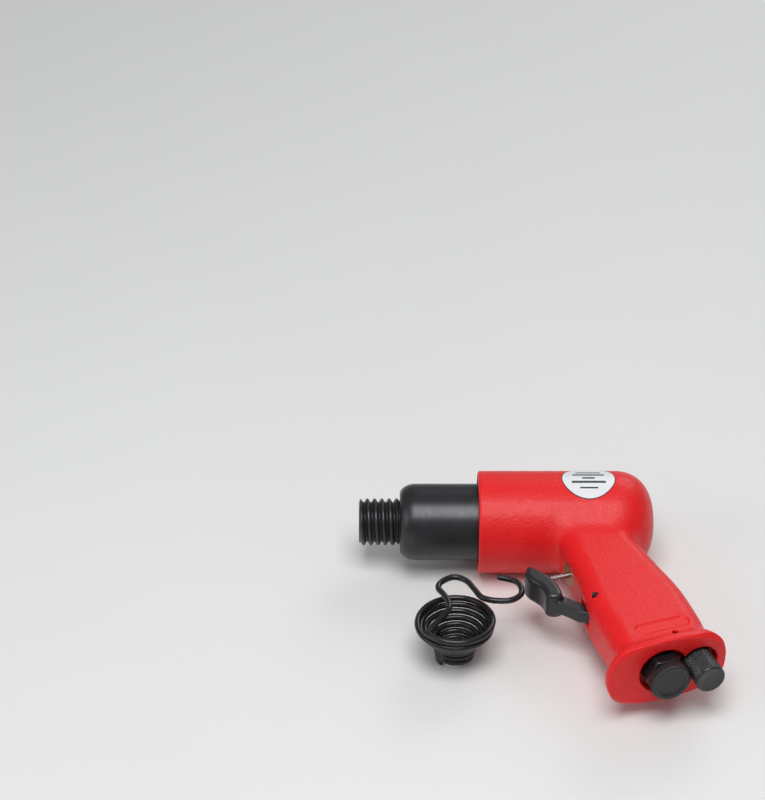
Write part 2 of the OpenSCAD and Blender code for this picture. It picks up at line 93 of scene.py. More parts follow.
THROTTLE_V = 40.0
THROTTLE_R = 6.0
THROTTLE_END = 15.0
PIVOT = (-17.3, 73.0)
PIN_R = 1.4
HOLE_EASE = 0.2
HOLE_EDGE = 0.2
LOCK = (7.0, 114.2)
LOCK_R = 1.3
SLOT_HALF = 4.0
SLOT_TOP = 63.0
SLOT_REACH = 4.3
SLOT_DEPTH = 15.0
SLOT_CORNER = 2.0
SLOT_EDGE = 0.8
BADGE = (3.5, 107.0)
BADGE_HALF = (14.0, 3.5)
BADGE_DEPTH = 0.6
BADGE_EDGE = 0.15

INLET_U = -2.0
INLET_STEPS = [(99.0, 6.5), (117.0, 8.5), (140.0, 12.3)]
INLET_TOP = 84.0
KNOB_U = 16.8
KNOB_STEPS = [(100.4, 4.05), (106.0, 5.7), (117.0, 7.0), (140.0, 9.3)]
KNOB_TOP = 84.0
POCKET_EDGE = 0.6


# ---- frames and meshes ------------------------------------------------------

def grip_point(u, v, z):
    """A point given across, down and out of the grip, on the hammer's own axes."""
    x = GRIP_ROOT + u * math.cos(RAKE) + v * math.sin(RAKE)
    y = u * math.sin(RAKE) - v * math.cos(RAKE)
    return np.stack(np.broadcast_arrays(x, y, z), axis=-1)


def grip_ring(u, v, radius, angle):
    """A ring of points round a line that runs down the grip."""
    return grip_point(u + radius * np.cos(angle), np.full(len(angle), v), radius * np.sin(angle))


def piece(name, points, faces, body, nodes, material):
    """A mesh piece that stands for CAD nodes and rides on a body."""
    mesh = bpy.data.meshes.new(name)
    mesh.from_pydata([tuple(p) for p in points], [], [tuple(f) for f in faces])
    mesh.validate()
    tidy = bmesh.new()
    tidy.from_mesh(mesh)
    bmesh.ops.recalc_face_normals(tidy, faces=tidy.faces)
    tidy.to_mesh(mesh)
    tidy.free()
    mesh.polygons.foreach_set("use_smooth", [True] * len(mesh.polygons))
    mesh.materials.append(material)
    made = bpy.data.objects.new(name, mesh)
    bpy.context.scene.collection.objects.link(made)
    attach(made, body)
    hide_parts(*nodes)
    return made


def ring_faces(rings, around, closed):
    """Quads between rings of points, with the last ring joined to the first if closed."""
    faces = []
    for i in range(rings if closed else rings - 1):
        here, there = i * around, ((i + 1) % rings) * around
        for j in range(around):
            k = (j + 1) % around
            faces.append((here + j, here + k, there + k, there + j))
    return faces


def capped_faces(rings, around):
    """Quads between rings of points, and a flat face over each end."""
    faces = ring_faces(rings, around, closed=False)
    faces.append(tuple(reversed(range(around))))
    faces.append(tuple(range((rings - 1) * around, rings * around)))
    return faces


# ---- solid shapes as distance fields, turned into smooth meshes --------------

def smooth_union(a, b, k):
    h = np.clip(0.5 + 0.5 * (b - a) / k, 0, 1)
    return b * (1 - h) + a * h - k * h * (1 - h)


def smooth_cut(a, b, k):
    """Shape a less shape b, with the edge eased over k."""
    return -smooth_union(-a, b, k)


def round_rect(p, q, half_p, half_q, corner):
    dp = np.abs(p) - half_p + corner
    dq = np.abs(q) - half_q + corner
    outside = np.hypot(np.maximum(dp, 0), np.maximum(dq, 0))
    return outside + np.minimum(np.maximum(dp, dq), 0) - corner


def stretched(flat, height, ease):
    """A flat shape's distance and a height's distance joined into a solid with eased edges."""
    a, b = flat + ease, height + ease
    outside = np.hypot(np.maximum(a, 0), np.maximum(b, 0))
    return outside + np.minimum(np.maximum(a, b), 0) - ease


def outline_distance(p, q, corners):
    """Signed distance to a closed outline, negative inside."""
    best = np.full(np.broadcast(p, q).shape, 1e9)
    inside = np.zeros(best.shape, bool)
    for (ax, ay), (bx, by) in zip(corners, corners[1:] + corners[:1]):
        ex, ey = bx - ax, by - ay
        t = np.clip(((p - ax) * ex + (q - ay) * ey) / (ex * ex + ey * ey), 0, 1)
        best = np.minimum(best, np.hypot(p - ax - t * ex, q - ay - t * ey))
        crosses = (ay > q) != (by > q)
        level = by - ay if by != ay else 1e-9
        inside ^= crosses & (p < (q - ay) * ex / level + ax)
    return np.where(inside, -best, best)


def flowing(v, knots, values):
    """A smooth curve through named values, for a width that changes along the grip."""
    knots, values = np.asarray(knots, float), np.asarray(values, float)
    slope = np.gradient(values, knots)
    i = np.clip(np.searchsorted(knots, v) - 1, 0, len(knots) - 2)
    span = knots[i + 1] - knots[i]
    t = np.clip((v - knots[i]) / span, 0, 1)
    start = (1 + 2 * t) * (1 - t) ** 2 * values[i] + t * (1 - t) ** 2 * span * slope[i]
    end = t * t * (3 - 2 * t) * values[i + 1] + t * t * (t - 1) * span * slope[i + 1]
    return start + end


def stepped(position, steps):
    """The radius of a stepped bore at a position along it."""
    radius = np.zeros(np.shape(position))
    for limit, value in reversed(steps):
        radius = np.where(position < limit, value, radius)
    return radius


def surface_net(shape, low, high, step):
    """Vertices and quads of the zero surface of a distance function, settled onto it."""
    axes = [np.arange(a, b + step, step, dtype=np.float32) for a, b in zip(low, high)]
    grid = np.meshgrid(*axes, indexing="ij", sparse=True)
    field = shape(*grid).astype(np.float32)
    inside = field < 0
    cells = tuple(n - 1 for n in field.shape)
    total = np.zeros(cells + (3,), np.float32)
    count = np.zeros(cells, np.int16)
    crossings = []
    for axis in range(3):
        first = [slice(None)] * 3
        second = [slice(None)] * 3
        first[axis], second[axis] = slice(0, -1), slice(1, None)
        a, b = field[tuple(first)], field[tuple(second)]
        spots = np.argwhere(inside[tuple(first)] != inside[tuple(second)])
        fa, fb = a[tuple(spots.T)], b[tuple(spots.T)]
        place = spots.astype(np.float32)
        place[:, axis] += fa / (fa - fb)
        others = [k for k in range(3) if k != axis]
        for da in (0, 1):
            for db in (0, 1):
                cell = spots.copy()
                cell[:, others[0]] -= da
                cell[:, others[1]] -= db
                fits = np.all((cell >= 0) & (cell < np.array(cells)), axis=1)
                index = tuple(cell[fits].T)
                np.add.at(total, index, place[fits])
                np.add.at(count, index, 1)
        crossings.append((axis, spots, fa < 0))
    used = count > 0
    number = np.full(cells, -1, np.int64)
    number[used] = np.arange(used.sum())
    points = total[used] / count[used][:, None] * step + np.array(low, np.float32)
    quads = []
    for axis, spots, filled in crossings:
        j, k = [n for n in range(3) if n != axis]
        fits = (spots[:, j] > 0) & (spots[:, k] > 0)
        fits &= (spots[:, j] < cells[j]) & (spots[:, k] < cells[k])
        spots, filled = spots[fits], filled[fits]
        corners = []
        for da, db in ((1, 1), (0, 1), (0, 0), (1, 0)):
            cell = spots.copy()
            cell[:, j] -= da
            cell[:, k] -= db
            corners.append(number[tuple(cell.T)])
        loop = np.stack(corners, axis=1)
        flip = filled if axis != 1 else ~filled
        loop[flip] = loop[flip][:, ::-1]
        quads.append(loop)
    points = settle(shape, points.astype(np.float64), step)
    return points, np.concatenate(quads)


def settle(shape, points, step):
    """Moves points onto the zero surface along its slope, a little at a time."""
    nudge = step * 0.1
    for _ in range(2):
        here = shape(*points.T)
        slope = np.stack([
            (shape(*(points + nudge * e).T) - here) / nudge for e in np.eye(3)
        ], axis=1)
        square = np.maximum((slope ** 2).sum(axis=1), 0.25)
        move = -(here / square)[:, None] * slope
        length = np.linalg.norm(move, axis=1, keepdims=True)
        move *= np.minimum(1, 0.5 * step / np.maximum(length, 1e-9))
        points = points + move
    return points


def housing_shape(x, y, z):
    """Distance to the cast housing: round body, grip and flange, less its bores."""
    r = np.hypot(y, z)
    back = np.maximum(x - (HOUSING_LENGTH - DOME_REACH), 0) / DOME_REACH
    dome = (back ** DOME_POWER + (r / HOUSING_R) ** DOME_POWER) ** (1 / DOME_POWER)
    body = smooth_cut((dome - 1) * HOUSING_R, x - HOUSING_FRONT, FRONT_EDGE)

    across = (x - GRIP_ROOT) * math.cos(RAKE) + y * math.sin(RAKE)
    down = (x - GRIP_ROOT) * math.sin(RAKE) - y * math.cos(RAKE)
    front = flowing(down, GRIP_V, GRIP_FRONT)
    rear = flowing(down, GRIP_V, GRIP_BACK)
    half = flowing(down, GRIP_V, GRIP_HALF)
    middle, width = (front + rear) / 2, (rear - front) / 2
    section = round_rect(across - middle, z, width, half, GRIP_CORNER)
    grip = np.maximum(section, np.maximum(GRIP_TOP - down, down - GRIP_LENGTH + 1))

    share = (np.abs(across) / FLANGE_REACH[0]) ** FLANGE_POWER
    share = share + (np.abs(z) / FLANGE_REACH[1]) ** FLANGE_POWER
    around = (share + 1e-9) ** (1 / FLANGE_POWER)
    oval = (around - 1) * np.hypot(across, z) / around
    plate = np.abs(down - GRIP_LENGTH + FLANGE_T / 2) - FLANGE_T / 2
    flange = stretched(oval, plate, FLANGE_EDGE)

    solid = smooth_union(body, grip, GRIP_BLEND)
    solid = smooth_union(solid, flange, FLANGE_BLEND)

    bore = np.maximum(r - stepped(x, BORE_STEPS), x - BORE_STEPS[-1][0])
    solid = smooth_cut(solid, bore, BORE_EDGE)
    inlet = np.hypot(across - INLET_U, z) - stepped(down, INLET_STEPS)
    inlet = np.maximum(inlet, INLET_TOP - down)
    knob = np.hypot(across - KNOB_U, z) - stepped(down, KNOB_STEPS)
    knob = np.maximum(knob, KNOB_TOP - down)
    solid = smooth_cut(solid, np.minimum(inlet, knob), POCKET_EDGE)
    throttle = np.hypot(down - THROTTLE_V, z) - THROTTLE_R
    throttle = np.maximum(throttle, across - THROTTLE_END)
    solid = smooth_cut(solid, throttle, POCKET_EDGE)
    slot_end = PIVOT[1] + SLOT_REACH
    slot = round_rect(
        across - PIVOT[0] - SLOT_REACH + SLOT_DEPTH, down - (SLOT_TOP + slot_end) / 2,
        SLOT_DEPTH, (slot_end - SLOT_TOP) / 2, SLOT_CORNER)
    solid = smooth_cut(solid, np.maximum(slot, np.abs(z) - SLOT_HALF), SLOT_EDGE)
    pins = np.minimum(
        np.hypot(across - PIVOT[0], down - PIVOT[1]) - PIN_R,
        np.hypot(across - LOCK[0], down - LOCK[1]) - LOCK_R) - HOLE_EASE
    solid = smooth_cut(solid, pins, HOLE_EDGE)
    badge = round_rect(across - BADGE[0], down - BADGE[1], *BADGE_HALF, BADGE_HALF[1])
    return smooth_cut(solid, np.maximum(badge, half - BADGE_DEPTH - z), BADGE_EDGE)


# ---- materials -----------------------------------------------------------------

def node(tree, kind, **values):
    made = tree.nodes.new(kind)
    for key, value in values.items():
        if hasattr(made, key):
            setattr(made, key, value)
        else:
            made.inputs[key.replace("_", " ")].default_value = value
    return made


def surface(name, colour, shade, metallic, roughness, spread, grain, grain_depth,
            patch=45, coat=0.0, stretch=(1, 1, 1), specular=0.5):
    """A finish: colour drifting to a second shade, roughness that varies, and a fine bump."""
    made = bpy.data.materials.new(name)
    made.use_nodes = True
    tree = made.node_tree
    shader = tree.nodes["Principled BSDF"]
    shader.inputs["Metallic"].default_value = metallic
    shader.inputs["Coat Weight"].default_value = coat
    shader.inputs["Coat Roughness"].default_value = 0.12
    shader.inputs["Specular IOR Level"].default_value = specular
    place = node(tree, "ShaderNodeTexCoord")
    scaled = node(tree, "ShaderNodeMapping")
    scaled.inputs["Scale"].default_value = stretch
    tree.links.new(place.outputs["Object"], scaled.inputs["Vector"])
    patches = node(tree, "ShaderNodeTexNoise", Scale=patch, Detail=4.0, Roughness=0.6)
    tree.links.new(scaled.outputs["Vector"], patches.inputs["Vector"])
    mix = node(tree, "ShaderNodeMix", data_type="RGBA")
    mix.inputs[6].default_value = (*colour, 1)
    mix.inputs[7].default_value = (*shade, 1)
    tree.links.new(patches.outputs["Fac"], mix.inputs[0])
    tree.links.new(mix.outputs[2], shader.inputs["Base Color"])
    ease = node(tree, "ShaderNodeMapRange")
    ease.inputs["From Min"].default_value = 0.3
    ease.inputs["From Max"].default_value = 0.7
    ease.inputs["To Min"].default_value = roughness - spread
    ease.inputs["To Max"].default_value = roughness + spread
    smear = node(tree, "ShaderNodeTexNoise", Scale=patch * 6, Detail=3.0)
    tree.links.new(scaled.outputs["Vector"], smear.inputs["Vector"])
    tree.links.new(smear.outputs["Fac"], ease.inputs["Value"])
    tree.links.new(ease.outputs["Result"], shader.inputs["Roughness"])
    fine_noise = node(tree, "ShaderNodeTexNoise", Scale=grain, Detail=3.0, Roughness=0.55)
    tree.links.new(scaled.outputs["Vector"], fine_noise.inputs["Vector"])
    bump = node(tree, "ShaderNodeBump", Strength=1.0, Distance=grain_depth * MM)
    tree.links.new(fine_noise.outputs["Fac"], bump.inputs["Height"])
    tree.links.new(bump.outputs["Normal"], shader.inputs["Normal"])
    return made


LABEL_X = 116.2
LABEL_TURN = math.radians(85)
LABEL_WHITE_R = 13.2
# printed rules on the label: place across it, half height and half length
LABEL_RULES = [
    (6.6, 0.75, 6.2), (3.6, 0.75, 8.0), (0.4, 0.75, 3.2), (-3.0, 0.9, 8.6), (-7.2, 0.5, 4.6),
]


def math_node(tree, operation, *inputs):
    made = node(tree, "ShaderNodeMath", operation=operation)
    for socket, value in zip(made.inputs, inputs):
        if isinstance(value, (int, float)):
            socket.default_value = value
        else:
            tree.links.new(value, socket)
    return made.outputs[0]


def label_film():
    """White film with a thin dark rim, a painted shadow round its edge, and a few plain ruled bars.
    """
    made = surface(
        "label_film", colour=(0.84, 0.85, 0.86), shade=(0.78, 0.79, 0.81), metallic=0.0,
        roughness=0.35, spread=0.05, grain=1500, grain_depth=0.01, coat=0.3)
    tree = made.node_tree
    shader = tree.nodes["Principled BSDF"]
    film = shader.inputs["Base Color"].links[0].from_socket
    place = node(tree, "ShaderNodeTexCoord")
    flat = node(tree, "ShaderNodeMapping")
    flat.inputs["Location"].default_value = (-LABEL_X * MM, 0, 0)
    flat.inputs["Rotation"].default_value = (math.pi / 2 - LABEL_TURN, 0, 0)
    tree.links.new(place.outputs["Object"], flat.inputs["Vector"])
    parts = node(tree, "ShaderNodeSeparateXYZ")
    tree.links.new(flat.outputs["Vector"], parts.inputs["Vector"])
    along, across = parts.outputs["X"], parts.outputs["Y"]
    squares = [math_node(tree, "POWER", part, 2.0) for part in (along, across)]
    reach = math_node(tree, "SQRT", math_node(tree, "ADD", *squares))
    # the ring beyond the white radius is painted near black: a painted shadow round the label's edge
    print_and_rim_shadow = math_node(tree, "GREATER_THAN", reach, LABEL_WHITE_R * MM)
    for row, half_height, half_length in LABEL_RULES:
        inside = math_node(tree, "MULTIPLY",
                           math_node(tree, "COMPARE", across, row * MM, half_height * MM),
                           math_node(tree, "COMPARE", along, 0.0, half_length * MM))
        print_and_rim_shadow = math_node(tree, "MAXIMUM", print_and_rim_shadow, inside)
    # the printed bars and the painted rim shadow share one near-black colour
    mix = node(tree, "ShaderNodeMix", data_type="RGBA")
    tree.links.new(print_and_rim_shadow, mix.inputs[0])
    tree.links.new(film, mix.inputs[6])
    mix.inputs[7].default_value = (0.03, 0.03, 0.035, 1)
    tree.links.new(mix.outputs[2], shader.inputs["Base Color"])
    return made


FINISHES = {
    "red_paint": dict(
        colour=(0.83, 0.008, 0.010), shade=(0.74, 0.005, 0.007), metallic=0.0,
        roughness=0.44, spread=0.06, grain=760, grain_depth=0.34, coat=0.08, specular=0.4),
    "satin_black_steel": dict(
        colour=(0.038, 0.039, 0.042), shade=(0.058, 0.059, 0.062), metallic=0.7,
        roughness=0.33, spread=0.05, grain=2600, grain_depth=0.012, stretch=(3, 1, 1)),
    "ground_steel": dict(
        colour=(0.50, 0.50, 0.51), shade=(0.60, 0.60, 0.61), metallic=1.0,
        roughness=0.28, spread=0.06, grain=2200, grain_depth=0.01, stretch=(1, 4, 4)),
    # near-black pin steel: painted shade, the pins darkened so their ends show as shaded holes
    "pin_steel_painted_shade": dict(
        colour=(0.012, 0.010, 0.010), shade=(0.03, 0.026, 0.026), metallic=0.6,
        roughness=0.5, spread=0.08, grain=2200, grain_depth=0.02),
    "black_oxide": dict(
        colour=(0.014, 0.014, 0.016), shade=(0.026, 0.026, 0.028), metallic=0.5,
        roughness=0.27, spread=0.06, grain=2400, grain_depth=0.012, coat=0.2),
    "knob_black": dict(
        colour=(0.045, 0.045, 0.048), shade=(0.09, 0.09, 0.092), metallic=0.8,
        roughness=0.3, spread=0.06, grain=2600, grain_depth=0.02),
    "trigger_black": dict(
        colour=(0.010, 0.010, 0.012), shade=(0.019, 0.019, 0.022), metallic=0.1,
        roughness=0.36, spread=0.06, grain=1800, grain_depth=0.03, coat=0.2),
    "plug_plastic": dict(
        colour=(0.012, 0.012, 0.013), shade=(0.02, 0.02, 0.021), metallic=0.0,
        roughness=0.45, spread=0.08, grain=1600, grain_depth=0.02),
    "brass": dict(
        colour=(0.34, 0.22, 0.07), shade=(0.24, 0.15, 0.05), metallic=1.0,
        roughness=0.36, spread=0.06, grain=2000, grain_depth=0.012, stretch=(1, 3, 3)),
    "rubber": dict(
        colour=(0.012, 0.012, 0.012), shade=(0.022, 0.022, 0.022), metallic=0.0,
        roughness=0.62, spread=0.06, grain=1800, grain_depth=0.03),
    "fibre": dict(
        colour=(0.24, 0.09, 0.045), shade=(0.33, 0.14, 0.08), metallic=0.0,
        roughness=0.75, spread=0.06, grain=1500, grain_depth=0.06),
    "spring_steel": dict(
        colour=(0.30, 0.30, 0.31), shade=(0.42, 0.42, 0.43), metallic=1.0,
        roughness=0.3, spread=0.06, grain=2400, grain_depth=0.01),
    "pale_floor": dict(
        colour=(0.78, 0.78, 0.77), shade=(0.82, 0.82, 0.81), metallic=0.0,
        roughness=0.65, spread=0.04, grain=300, grain_depth=0.02, patch=3),
}
CAD_FINISHES = {
    "piston": "ground_steel", "valve_front_plate": "ground_steel", "valve_disc": "ground_steel",
    "valve_box": "ground_steel", "valve_dowel": "ground_steel", "wave_washer": "spring_steel",
    "throttle_bushing": "brass", "throttle_bushing_oring": "rubber", "throttle_stem": "ground_steel",
    "throttle_valve": "brass", "throttle_seal": "rubber", "throttle_spring": "spring_steel",
    # trigger_pin and inlet_lock_pin take the near-black finish of painted hole shade
    "trigger_pin": "pin_steel_painted_shade", "regulator_spindle": "ground_steel", "regulator_oring": "rubber",
    "regulator_gland": "brass", "inlet_gasket": "fibre", "inlet_screen": "spring_steel",
    "inlet_lock_pin": "pin_steel_painted_shade",
}
finish = {name: surface(name, **values) for name, values in FINISHES.items()}


def dress_cad_nodes():
    """Gives every CAD node that stays in view its finish."""
    for name, kind in CAD_FINISHES.items():
        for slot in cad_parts[name].material_slots:
            slot.material = finish[kind]
    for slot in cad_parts["label"].material_slots:
        slot.material = label_film()


# ---- housing ----------------------------------------------------------------------

def make_housing():
    step = HOUSING_STEP
    low = (HOUSING_FRONT - 2, -GRIP_LENGTH - 10, -HOUSING_R - 1.5)
    high = (HOUSING_LENGTH + 32, HOUSING_R + 1.5, HOUSING_R + 1.5)
    points, quads = surface_net(housing_shape, low, high, step)
    piece("housing_casting", points * MM, quads, "hammer_body", ["housing"],
          finish["red_paint"])


# ---- barrel ------------------------------------------------------------------------

NOSE_R = 12.0
NOSE_END = 20.0
NOSE_PITCH = 3.7
THREAD_DEPTH = 1.9
NECK_R = 11.0
SHOULDER_START = 20.8
SHOULDER_R = 14.4
SHOULDER_END = 29.0
BARREL_R = 19.5
BARREL_END = 100.0
SOCKET_R = 5.15
SOCKET_DEPTH = 24.0
PISTON_BORE_R = 9.55


def barrel_profile():
    """Points (x, radius, share of the thread depth) round the barrel's wall, mouth first."""
    profile = [(0.9, SOCKET_R, 0), (0.25, SOCKET_R + 0.5, 0), (0.0, SOCKET_R + 1.0, 0)]
    profile += [(0.0, NOSE_R - 2.1, 0), (0.15, NOSE_R - 1.5, 0)]
    for x in np.arange(0.5, NOSE_END - 0.4, 0.16):
        crest = NOSE_R - 1.2 * max(0, 1 - x / 1.4) ** 2
        profile.append((x, crest, min(1, x / 1.2, (NOSE_END - x) / 1.2)))
    profile += [(NOSE_END - 0.2, NOSE_R - 0.3, 0), (NOSE_END, NECK_R + 0.4, 0)]
    profile += [(NOSE_END + 0.3, NECK_R, 0), (SHOULDER_START - 0.15, NECK_R, 0)]
    profile += [(SHOULDER_START, NECK_R + 0.25, 0), (SHOULDER_START, SHOULDER_R - 0.5, 0)]
    for a in np.linspace(0.08, math.pi / 2, 18):
        x = SHOULDER_START + (SHOULDER_END - SHOULDER_START) * (1 - math.cos(a))
        profile.append((x, SHOULDER_R + (BARREL_R - SHOULDER_R) * math.sin(a), 0))
    for x in (SHOULDER_END + 1, 45.0, 60.0, 80.0, BARREL_END - 0.5):
        profile.append((x, BARREL_R, 0))
    profile += [(BARREL_END, BARREL_R - 0.5, 0), (BARREL_END, PISTON_BORE_R + 0.4, 0)]
    profile += [(BARREL_END - 0.4, PISTON_BORE_R, 0), (SOCKET_DEPTH + 0.3, PISTON_BORE_R, 0)]
    profile += [(SOCKET_DEPTH, PISTON_BORE_R - 0.3, 0), (SOCKET_DEPTH, SOCKET_R + 0.2, 0)]
    profile += [(SOCKET_DEPTH - 0.2, SOCKET_R, 0), (12.0, SOCKET_R, 0)]
    return profile


def make_barrel():
    around = 144
    angle = np.arange(around) * TAU / around
    points = []
    profile = barrel_profile()
    for x, radius, share in profile:
        phase = x / NOSE_PITCH - angle / TAU
        groove = (0.5 - 0.5 * np.cos(TAU * phase)) ** 1.5
        r = radius - THREAD_DEPTH * share * groove
        points.append(np.stack([np.full(around, x), r * np.cos(angle), r * np.sin(angle)], axis=1))
    faces = ring_faces(len(profile), around, closed=True)
    piece("barrel_turned", np.concatenate(points) * MM, faces, "hammer_body", ["barrel"],
          finish["satin_black_steel"])


# ---- trigger -----------------------------------------------------------------------

TRIGGER_HALF = 7.2
TRIGGER_WALL = 1.6
ARM_HALF = 3.5
BOSS_R = 3.4
PIN_GAP = 0.05
TRIGGER_EASE = 2.4
TRIGGER_STEP = 0.35
FINGER = [
    (84.9, -44.3), (83.5, -45.8), (82.6, -49.6), (83.2, -52.4), (84.9, -55.2), (87.4, -57.6),
    (89.8, -60.2), (91.6, -63.6), (92.8, -67.6), (96.4, -69), (100.4, -67.6), (100.6, -64.4),
    (99.6, -60.6), (97.7, -56), (94.9, -51.6), (90.4, -47.3), (87, -44.9),
]
HOLLOW = [
    (86, -46.5), (85, -47.6), (84.4, -49.6), (84.9, -51.7), (86.3, -54.1), (88.7, -56.5),
    (91.3, -59.4), (93.2, -62.9), (94.4, -66.2), (96.6, -67.3), (99.2, -66.4), (104, -64),
    (104, -56), (96, -46), (90.5, -45.4),
]
ARM = [(95, -66.4), (100.2, -63.4), (106.6, -67.4), (112.4, -71.4)]
ARM_BELOW = [(108, -76.2), (101.5, -71.4), (96.4, -68.6)]


def flow(a, b, c, d, t):
    """A point a share t of the way from b to c, on a smooth curve that also heeds a and d."""
    bend = 2 * a - 5 * b + 4 * c - d
    twist = 3 * b - a - 3 * c + d
    return 0.5 * (2 * b + (c - a) * t + bend * t ** 2 + twist * t ** 3)


def rounded(outline):
    """A closed outline with its corners flowed through instead of broken."""
    corners = [np.array(p, float) for p in outline]
    turned = []
    for i, b in enumerate(corners):
        a, c, d = (corners[(i + k) % len(corners)] for k in (-1, 1, 2))
        for t in (0, 0.34, 0.67):
            turned.append(tuple(flow(a, b, c, d, t)))
    return turned


def trigger_shape(x, y, z):
    """Distance to the trigger: a curved channel for the finger, and an arm back to its pivot."""
    pivot = grip_point(*PIVOT, 0)
    height = np.abs(z) - TRIGGER_HALF
    finger = stretched(outline_distance(x, y, rounded(FINGER)), height, TRIGGER_EASE)
    hollow = np.maximum(outline_distance(x, y, rounded(HOLLOW)), height + TRIGGER_WALL)
    channel = smooth_cut(finger, hollow, 0.8)
    edges = [*ARM, (pivot[0], pivot[1] + BOSS_R), (pivot[0], pivot[1] - BOSS_R), *ARM_BELOW]
    bar = stretched(outline_distance(x, y, edges), np.abs(z) - ARM_HALF, 0.6)
    reach = np.hypot(x - pivot[0], y - pivot[1])
    boss = stretched(reach - BOSS_R, np.abs(z) - ARM_HALF, 0.4)
    solid = smooth_union(channel, np.minimum(bar, boss), 1.5)
    return smooth_cut(solid, reach - PIN_R - PIN_GAP, HOLE_EDGE)


def make_trigger():
    step = TRIGGER_STEP * 1
    points, quads = surface_net(trigger_shape, (81.5, -82, -8), (122, -39.5, 8), step)
    piece("trigger_casting", points * MM, quads, "trigger_lever", ["trigger"],
          finish["trigger_black"])


# ---- regulator knob ------------------------------------------------------------------

KNOB_R = 7.5
KNOB_START = 118.2
KNOB_END = 136.6
KNURL_STARTS = 36
KNURL_DEPTH = 0.45
KNURL_FLAT = 0.45
SPINDLE_BORE_R = 3.0


def make_knob():
    """A knob with a real diamond knurl: two sets of slanted grooves cross on its wall."""
    around = 380
    angle = np.arange(around) * TAU / around
    pitch = TAU * KNOB_R / KNURL_STARTS
    rings = [(KNOB_START + 6, SPINDLE_BORE_R, 0), (KNOB_START, SPINDLE_BORE_R, 0)]
    rings += [(KNOB_START, KNOB_R - 0.5, 0), (KNOB_START + 0.4, KNOB_R - 0.1, 0)]
    for v in np.arange(KNOB_START + 0.6, KNOB_END - 0.9, 0.13):
        share = min(1, (v - KNOB_START - 0.6) / 0.4, (KNOB_END - 0.9 - v) / 0.4)
        rings.append((v, KNOB_R, share))
    rings += [(KNOB_END - 0.8, KNOB_R - 0.05, 0), (KNOB_END - 0.45, KNOB_R - 0.2, 0)]
    rings += [(KNOB_END - 0.12, KNOB_R - 0.5, 0), (KNOB_END, KNOB_R - 0.9, 0)]
    rings += [(KNOB_END, KNOB_R - 1.4, 0), (KNOB_END - 0.12, KNOB_R - 1.6, 0)]
    rings += [(KNOB_END - 0.12, 0.05, 0)]
    points = []
    for v, radius, share in rings:
        one = np.abs(((v / pitch + angle * KNURL_STARTS / TAU) % 1) * 2 - 1)
        two = np.abs(((v / pitch - angle * KNURL_STARTS / TAU) % 1) * 2 - 1)
        groove = np.clip(np.maximum(one, two) - KNURL_FLAT, 0, 1) / (1 - KNURL_FLAT)
        r = radius - KNURL_DEPTH * share * groove
        points.append(grip_ring(KNOB_U, v, r, angle))
    faces = capped_faces(len(rings), around)
    piece("knurled_knob", np.concatenate(points) * MM, faces, "regulator", ["regulator_knob"],
          finish["knob_black"])


# ---- inlet plug and bushing ------------------------------------------------------------

PLUG_R = 10.25
PLUG_START = 128.0
PLUG_T = 5.0
PLUG_TEETH = 54
PLUG_SHANK_R = 5.55
PLUG_SHANK = 12.0
PLUG_TOOTH = 0.5
HEX_R = 10.97
HEX_TOP = 118.0
HEX_END = 127.7
SHANK_R = 8.5
SHANK_TOP = 100.2
BUSHING_BORE_R = 5.6
LOCK_GROOVE = 1.1


def make_plug():
    """The plastic transport plug: a serrated rim, a dished face and a shank."""
    around = PLUG_TEETH * 8
    angle = np.arange(around) * TAU / around
    end = PLUG_START + PLUG_T
    rings = [(PLUG_START - PLUG_SHANK, 0.05, 0), (PLUG_START - PLUG_SHANK, PLUG_SHANK_R - 0.6, 0)]
    rings += [(PLUG_START - PLUG_SHANK + 0.6, PLUG_SHANK_R, 0), (PLUG_START, PLUG_SHANK_R, 0)]
    rings += [(PLUG_START, PLUG_R - 1.0, 0), (PLUG_START + 0.2, PLUG_R - 0.5, 0.2)]
    rings += [(PLUG_START + 0.6, PLUG_R, 1)]
    rings += [(v, PLUG_R, 1) for v in np.linspace(PLUG_START + 1, end - 1.2, 5)]
    rings += [(end - 0.8, PLUG_R - 0.1, 0.8), (end - 0.35, PLUG_R - 0.4, 0.4)]
    rings += [(end - 0.05, PLUG_R - 0.9, 0), (end, PLUG_R - 1.4, 0), (end - 0.05, PLUG_R - 2.4, 0)]
    rings += [(end - 0.4, PLUG_R - 2.9, 0), (end - 0.95, PLUG_R - 3.2, 0)]
    rings += [(end - 1.0, PLUG_R - 3.8, 0), (end - 1.0, 0.05, 0)]
    points = []
    for v, radius, share in rings:
        tooth = np.abs(np.sin(angle * PLUG_TEETH / 2)) ** 0.7
        points.append(grip_ring(INLET_U, v, radius - PLUG_TOOTH * share * (1 - tooth), angle))
    faces = capped_faces(len(rings), around)
    piece("transport_plug", np.concatenate(points) * MM, faces, "plug", ["inlet_plug"],
          finish["plug_plastic"])


